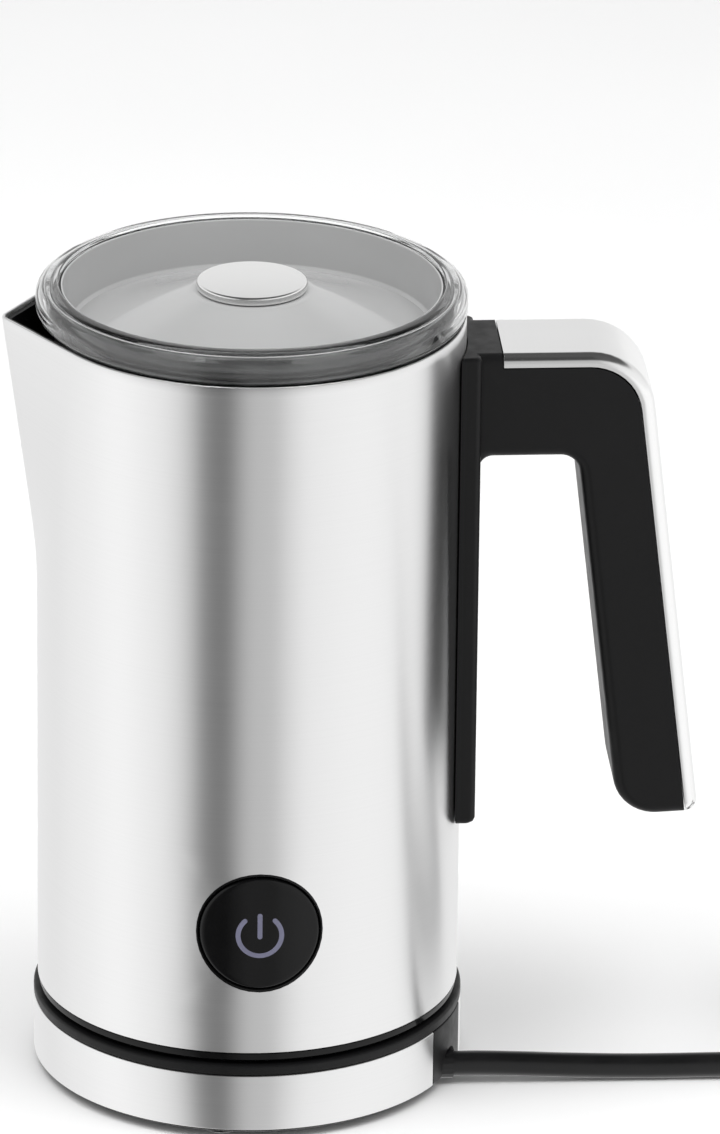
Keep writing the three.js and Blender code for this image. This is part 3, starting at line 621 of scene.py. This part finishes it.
def make_pot():
    turned("milk_pot", [(0, 69.5), (42, 69.5, 6), (48.2, 74, 6), (48.2, 176.6), (47.4, 176.6),
                        (47.4, 74.4, 6), (41.7, 70.7, 6), (0, 70.7)],
           "pot_coating", "jug", "inner_pot", closed=False, lift=JUG_Z)
    turned("socket_cup", [(0, 20.6), (18.4, 20.6, 0.6), (18.4, 0.6, 0.4), (16.1, 0.6, 0.8), (16.1, 18.4, 0.5),
                          (12, 18.4), (12, 7.5, 0.3), (10.8, 7.5, 0.3), (10.8, 18.4), (6.6, 18.4),
                          (6.6, 7.5, 0.3), (5.2, 7.5, 0.3), (5.2, 18.4), (2.4, 18.4), (2.4, 9.5, 0.2),
                          (1.6, 9.5, 0.2), (1.6, 18.4), (0, 18.4)],
           "satin_black", "jug_socket", "jug_socket", closed=False, facets=72, lift=JUG_Z)
    turned("foot_cover", [(18.8, 1.4, 0.4), (46.2, 1.4, 0.3), (46.2, 3), (18.8, 3)], "satin_black", "jug",
           "bottom_cover", lift=JUG_Z)
    turned("whisk_cap", [(0, 84.4), (2, 84.4), (2, 71.3), (3.4, 71.3, 0.3), (3.4, 86.5, 1.2), (0, 86.5)],
           "satin_black", "whisk_bush", "whisk_bush", closed=False, facets=48, lift=JUG_Z)
    turned("whisk_disc", [(3.8, 74.6), (11, 74.6, 0.6), (11, 79, 1.5), (7, 83, 1), (3.8, 83, 0.3)],
           "satin_black", "whisk", "whisk_hub", facets=72, lift=JUG_Z)
    turned("whisk_pin", [(0, 71), (1.6, 71), (1.6, 84, 0.6), (0, 84)], "satin_steel", "jug", "spindle_pin",
           closed=False, facets=32, lift=JUG_Z)


make_pot()


def make_whisk_spring():
    """The frothing spring: a fine coil closed into a ring round the whisk's disc."""
    ring_r, coil_r, wire_r, turns, per_turn, sides = 14.2, 2.2, 0.4, 44, 12, 6
    height = JUG_Z + 76
    count = turns * per_turn
    centres = []
    for i in range(count):
        a, b = 2 * math.pi * i / count, 2 * math.pi * i / per_turn
        r = ring_r + coil_r * math.cos(b)
        centres.append(Vector((r * math.cos(a), r * math.sin(a), height + coil_r * math.sin(b))))
    verts = []
    for i, centre in enumerate(centres):
        ahead = (centres[(i + 1) % count] - centres[i - 1]).normalized()
        a = 2 * math.pi * i / count
        out = centre - Vector((ring_r * math.cos(a), ring_r * math.sin(a), height))
        out = (out - ahead * out.dot(ahead)).normalized()
        side = ahead.cross(out)
        for k in range(sides):
            c = 2 * math.pi * k / sides
            verts.append(tuple(centre + (out * math.cos(c) + side * math.sin(c)) * wire_r))
    piece("frothing_spring", verts, bands(count, sides, closed=True), "satin_steel", "whisk", "whisk_spring",
          sharp=60)


make_whisk_spring()

# ---------------------------------------------------------------- power button


def front_disc(name, rings, body, stands_for, count=96):
    """A round gloss piece on the jug's front from rings of (radius on the face, distance from the axis)."""
    verts = []
    for radius, depth in rings:
        for i in range(count):
            a = 2 * math.pi * i / count
            x, z = radius * math.cos(a), radius * math.sin(a)
            verts.append((x, -math.sqrt(depth**2 - x**2), JUG_Z + BUTTON_Z + z))
    piece(name, verts, bands(len(rings), count), "gloss_black", body, stands_for)


def make_button():
    cap, round_edge, back = SHELL_R + BUTTON_PROUD, 0.7, 50.2
    rings = [(0.01, back), (BUTTON_R, back), (BUTTON_R, cap - round_edge)]
    rings += [(BUTTON_R - round_edge * (1 - math.cos(t)), cap - round_edge * (1 - math.sin(t)))
              for t in (math.pi / 10 * k for k in range(1, 6))]
    rings += [(r, cap) for r in (13, 10.5, 8, 5.5, 3, 1, 0.01)]
    front_disc("power_button", rings, "button", "button_cap")
    inner, outer, face = BUTTON_R + 0.2, BUTTON_R + 1.05, SHELL_R - 0.1
    front_disc("button_frame", [(inner, back), (inner, face - 0.3), (inner + 0.3, face), (outer - 0.1, face),
                                (outer, face - 0.1), (outer, back), (inner, back)], "jug", "button_bezel")


def symbol_stroke(name, at, length, width):
    """A round-ended inlaid stroke on the button's face; at(s) is its (x, z) centre line by length."""
    half = width / 2
    ends = [half * (1 - math.cos(math.pi / 2 * k / 6)) for k in range(6)]
    middle = [half + (length - width) * k / 40 for k in range(41)]
    stations = ends + middle + [length - s for s in reversed(ends)]
    verts = []
    for s in stations:
        ahead = np.array(at(s + 0.01)) - np.array(at(s - 0.01))
        ahead = ahead / np.linalg.norm(ahead)
        short = half - min(s, length - s, half)
        wide = max(math.sqrt(half**2 - short**2), 0.02)
        x, z = at(s)
        for side, depth in ((-1, -0.3), (-1, 0.03), (1, 0.03), (1, -0.3)):
            px, pz = x - side * ahead[1] * wide, z + side * ahead[0] * wide
            face = SHELL_R + BUTTON_PROUD + depth
            verts.append((px, -math.sqrt(face**2 - px**2), JUG_Z + BUTTON_Z + pz))
    faces = bands(len(stations), 4)
    faces += [(0, 1, 2, 3), tuple(4 * (len(stations) - 1) + k for k in range(4))]
    piece(name, verts, faces, "symbol_light", "button")


def make_symbol():
    radius, gap, width, drop = 5.35, math.radians(37), 1.2, -0.45

    def ring(s):
        angle = math.pi / 2 + gap + s / radius
        return radius * math.cos(angle), drop + radius * math.sin(angle)

    symbol_stroke("power_symbol_ring", ring, radius * (2 * math.pi - 2 * gap), width)
    symbol_stroke("power_symbol_bar", lambda s: (0, -1.4 + s), 6.8, width)


make_button()
make_symbol()

# ---------------------------------------------------------------- handle

HANDLE_TOP, HANDLE_FOOT, ARM_UNDER, HALF_WIDTH = 170.4, 48.6, 143.7, 14.0
SEAM_X, STRIP_FACE, STRIP_HALF, STRIP_BOTTOM = 60.8, 55.4, 16.0, 47.0
PARTING = 0.3  # the gap between cover, moulding and shell
TRIM_DEPTH = 3.1


def grip_outer(z):
    """The grip's back face, which leans in towards its top."""
    return 111.2 - 0.12 * (z - HANDLE_FOOT)


def grip_inner(z):
    """The grip's finger side."""
    return 90.8 - 0.12 * (z - 50)


def side_solid(name, corners, half, edge):
    """An (x, z) outline of [x, z, corner radius] as wide as 2 * half, with rounded edges."""
    points = np.array(rounded(corners, True, 10))
    count = len(points)
    ahead = np.roll(points, -1, 0) - points
    ahead = ahead / np.linalg.norm(ahead, axis=1)[:, None]
    behind = np.roll(ahead, 1, 0)
    area = float(np.sum(points[:, 0] * np.roll(points[:, 1], -1) - np.roll(points[:, 0], -1) * points[:, 1]))
    inward = np.stack([-ahead[:, 1] - behind[:, 1], ahead[:, 0] + behind[:, 0]], 1) * math.copysign(1, area)
    mitre = inward * 2 / np.sum(inward**2, 1)[:, None]
    turns = [math.pi / 2 * k / 7 for k in range(8)]
    insets = [(edge * (1 - math.sin(t)), -half + edge * (1 - math.cos(t))) for t in turns]
    insets += [(pull, -y) for pull, y in reversed(insets)]
    verts = [(*(p + m * pull), y) for pull, y in insets for p, m in zip(points, mitre, strict=True)]
    verts = [(x, y, z + JUG_Z) for x, z, y in verts]
    faces = bands(len(insets), count)
    faces += [tuple(range(count)), tuple(range((len(insets) - 1) * count, len(insets) * count))]
    return piece(name, verts, faces, "satin_black", "jug")


def soften(obj, width, angle=50):
    """Rounds the crisp edges that carving leaves."""
    bevel = obj.modifiers.new("soften", "BEVEL")
    bevel.width, bevel.segments, bevel.limit_method = width * MM, 2, "ANGLE"
    bevel.angle_limit = math.radians(angle)
    applied(obj)
    smooth(obj, angle)
    even = obj.modifiers.new("even", "WEIGHTED_NORMAL")
    even.keep_sharp = True
    applied(obj)


def trim_region(more):
    """The part of the handle's side view that the cover takes, from a depth below its face."""
    depth = TRIM_DEPTH + more
    return rounded([
        (SEAM_X - more, HANDLE_TOP + 20), (SEAM_X - more, HANDLE_TOP - depth),
        (grip_outer(HANDLE_TOP) - depth, HANDLE_TOP - depth, 13), (grip_outer(20) - depth, 20),
        (140, 20), (140, HANDLE_TOP + 20)], True, 10)


def lifted(outline):
    return [(x, z + JUG_Z) for x, z in outline]


def strip_solid():
    """The moulding's flat strip along the jug, from below the arm to its top."""
    section = rounded([(44, -STRIP_HALF), (STRIP_FACE, -STRIP_HALF, 1.5), (STRIP_FACE, STRIP_HALF, 1.5),
                       (44, STRIP_HALF)], True, 8)
    levels = [(STRIP_BOTTOM, 1.8), (STRIP_BOTTOM + 0.25, 1.0), (STRIP_BOTTOM + 0.9, 0.35),
              (STRIP_BOTTOM + 1.9, 0), (HANDLE_TOP - 1.1, 0), (HANDLE_TOP - 0.45, 0.2), (HANDLE_TOP - 0.1, 0.65),
              (HANDLE_TOP, 1.2)]  # heights, and how far the ends are rounded in there
    verts = []
    count = len(section)
    for z, pull in levels:
        verts += [(x - pull if x > 50 else x, y * (1 - pull / STRIP_HALF), z + JUG_Z) for x, y in section]
    faces = bands(len(levels), count)
    faces += [tuple(range(count)), tuple(range((len(levels) - 1) * count, len(levels) * count))]
    return cutter(verts, faces)


def make_handle():
    outline = [
        (46, ARM_UNDER - 5), (46, HANDLE_TOP), (grip_outer(HANDLE_TOP), HANDLE_TOP, 16),
        (grip_outer(HANDLE_FOOT), HANDLE_FOOT, 3.2), (grip_inner(HANDLE_FOOT) + 0.1, HANDLE_FOOT - 1, 10.5),
        (grip_inner(ARM_UNDER), ARM_UNDER, 5),
        (STRIP_FACE - 0.1, ARM_UNDER, 3.4), (STRIP_FACE - 0.1, ARM_UNDER - 5)]
    edge, reach, above = 2.8, 30, 250  # rounding of the long edges, and how far the cutters go sideways and up
    cover = side_solid("handle_cover", outline, HALF_WIDTH, edge)
    cover.data.materials[0] = MATERIALS["satin_steel"]
    carve(cover, prism(lifted(trim_region(0)), -reach, reach, "y"), "INTERSECT")
    soften(cover, 0.2)
    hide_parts("handle_trim")
    body = side_solid("handle_moulding", outline, HALF_WIDTH, edge)
    carve(body, prism(lifted(trim_region(PARTING)), -reach, reach, "y"))
    carve(body, strip_solid(), "UNION")
    carve(body, prism(disc(SHELL_R + PARTING, 360), 0, above, "z"))
    soften(body, 0.15)
    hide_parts("handle_body")


make_handle()

# ---------------------------------------------------------------- lid


def lid_floor(r):
    """The dish's floor, which rises to the knob."""
    return -4.2 + 10.4 * max((44 - r) / 29.5, 0) ** 1.2


def make_lid():
    lift = JUG_Z + RIM_Z
    slope = [43.9, 42, 40, 37, 34, 31, 28, 25, 22, 19, 17, 15.5, 14.5]
    top = [(r, lid_floor(r)) for r in reversed(slope)]
    under = [(r, lid_floor(r) - 2) for r in slope]
    turned("lid_dish", [(0, 6.2), *top, (44.8, -3.6, 0.6), (46.2, 7.4, 0.3), (46.7, 7.4, 0.2), (45.9, -0.9),
                        (46.1, -1.2, 0.3), (46, -8.6, 0.5), (44.4, -8.6, 0.5), *under, (0, 4.2)],
           "lid_dish", "lid", "lid_cover", closed=False, facets=192, lift=lift, sharp=40)
    # The black band round the dish's outer wall is painted shade: a dark sheet that darkens the front of the
    # clear lid where there is only shade.
    turned("lid_shade_band", [(46.1, -0.8), (47.2, 0.6), (47.4, 6.9, 0.2), (46.9, 6.9, 0.2)], "gloss_black", "lid",
           facets=192, lift=lift)
    turned("lid_rim", [(47.5, 1.0), (47.6, 7.2, 0.2), (46.9, 7.6, 0.2), (47.4, 8.2, 0.6), (49.8, 8.2, 2.4),
                       (52.8, 6.0, 2.6), (52.8, 1.6, 1.8), (51.6, 0.4, 0.4), (50.7, 0.4, 0.2),
                       (51.1, 4.8, 1.6), (49.7, 6.5, 1.4), (48.7, 6.3, 0.6), (48.4, 1.0, 0.2)],
           "clear_plastic", "lid", "lid_cover", facets=192, lift=lift, sharp=40, steps=8)
    turned("lid_button", [(0, 6.5), (13.5, 6.5, 0.4), (13.5, 8.5, 0.6), (0, 8.5)],
           "knob_satin", "lid", "lid_knob", closed=False, facets=96, lift=lift)


make_lid()

# ---------------------------------------------------------------- CAD nodes that stay as they are


def dress_nodes():
    slots = {part["node"]: part["material_slot"] for part in frame["record"]["subparts"]}
    for node, obj in frame["nodes"].items():
        obj.data.materials.clear()
        obj.data.materials.append(MATERIALS[slots[node]])
        smooth(obj, 30)


dress_nodes()

# ---------------------------------------------------------------- floor and light


def make_stage():
    size = 6.0
    mesh = bpy.data.meshes.new("floor")
    corners = [(-size, -size, 0), (size, -size, 0), (size, size, 0), (-size, size, 0)]
    mesh.from_pydata(corners, [], [(0, 1, 2, 3)])
    floor = bpy.data.objects.new("floor", mesh)
    bpy.context.collection.objects.link(floor)
    n = Nodes("floor")
    mesh.materials.append(n.set(Base_Color=n.colours(n.noise(3, 2), (0.90, 0.90, 0.90), (0.93, 0.93, 0.93)),
                                Roughness=0.8))
    floor.visible_glossy = False  # the metal mirrors the studio's walls, not the floor


STUDIO_WALL = [  # degrees round from the camera, and brightness
    (-180, 0.98), (-130, 0.95), (-105, 1.06), (-75, 1.18), (-52, 1.06), (-40, 0.93), (-32, 0.66),
    (-25, 0.22), (-12, 0.17), (-6, 0.46), (0, 0.66), (14, 0.62), (20, 0.86), (32, 1.06), (60, 1.12),
    (100, 1.10), (115, 0.98), (180, 0.98)]
STUDIO_CEILING = [  # height of the direction, and brightness
    (-1, 1.0), (0, 1.0), (0.2, 0.88), (0.5, 0.84), (0.72, 0.09)]


def grey_ramp(tree, stops):
    """A colour ramp of greys from (place, brightness) pairs."""
    node = tree.nodes.new("ShaderNodeValToRGB")
    node.color_ramp.interpolation = "EASE"
    elements = node.color_ramp.elements
    for i, (at, bright) in enumerate(stops):
        stop = elements[i] if i in (0, 1) else elements.new(at)
        stop.position, stop.color = at, (bright, bright, bright, 1)
    return node


def make_world():
    """A round white studio wall with one darker gap beside the camera, open to a dark ceiling."""
    backdrop = bpy.data.worlds.new("studio")
    backdrop.use_nodes = True
    tree = backdrop.node_tree
    link, new = tree.links.new, tree.nodes.new
    split = new("ShaderNodeSeparateXYZ")
    link(new("ShaderNodeTexCoord").outputs["Generated"], split.inputs[0])
    flip = new("ShaderNodeMath")
    flip.operation = "MULTIPLY"
    flip.inputs[1].default_value = -1
    link(split.outputs["Y"], flip.inputs[0])
    angle = new("ShaderNodeMath")
    angle.operation = "ARCTAN2"
    link(split.outputs["X"], angle.inputs[0])
    link(flip.outputs[0], angle.inputs[1])
    share = new("ShaderNodeMapRange")
    share.inputs["From Min"].default_value = AZIMUTH - math.pi
    share.inputs["From Max"].default_value = AZIMUTH + math.pi
    link(angle.outputs[0], share.inputs["Value"])
    wall = grey_ramp(tree, [((degrees + 180) / 360, bright) for degrees, bright in STUDIO_WALL])
    link(share.outputs["Result"], wall.inputs["Fac"])
    link(wall.outputs["Color"], tree.nodes["Background"].inputs["Color"])
    height = new("ShaderNodeMapRange")
    height.inputs["From Min"].default_value = -1
    link(split.outputs["Z"], height.inputs["Value"])
    ceiling = grey_ramp(tree, [((z + 1) / 2, bright) for z, bright in STUDIO_CEILING])
    link(height.outputs["Result"], ceiling.inputs["Fac"])
    link(ceiling.outputs["Color"], tree.nodes["Background"].inputs["Strength"])
    bpy.context.scene.world = backdrop


def soft_box(name, azimuth, elevation, distance, width, height, power):
    """A softbox that faces the jug, at an azimuth seen from above (0 is the camera's side)."""
    a, e = math.radians(azimuth), math.radians(elevation)
    away = Vector((math.sin(a) * math.cos(e), -math.cos(a) * math.cos(e), math.sin(e)))
    light = bpy.data.lights.new(name, "AREA")
    light.shape, light.size, light.size_y, light.energy = "RECTANGLE", width, height, power
    obj = bpy.data.objects.new(name, light)
    bpy.context.collection.objects.link(obj)
    obj.location = Vector((AXIS_X * MM, 0, 0.1)) + away * distance
    obj.rotation_mode = "QUATERNION"
    obj.rotation_quaternion = away.to_track_quat("Z", "Y")
    obj.visible_camera = obj.visible_glossy = False


def make_light():
    soft_box("left_box", -62, 60, 1.8, 1.2, 1.2, 11)
    soft_box("right_box", 52, 60, 1.8, 1.2, 1.2, 11)
    soft_box("top_box", 10, 85, 1.8, 2.4, 2.0, 26)


make_stage()
make_world()
make_light()
bpy.context.scene.view_settings.view_transform = "Standard"
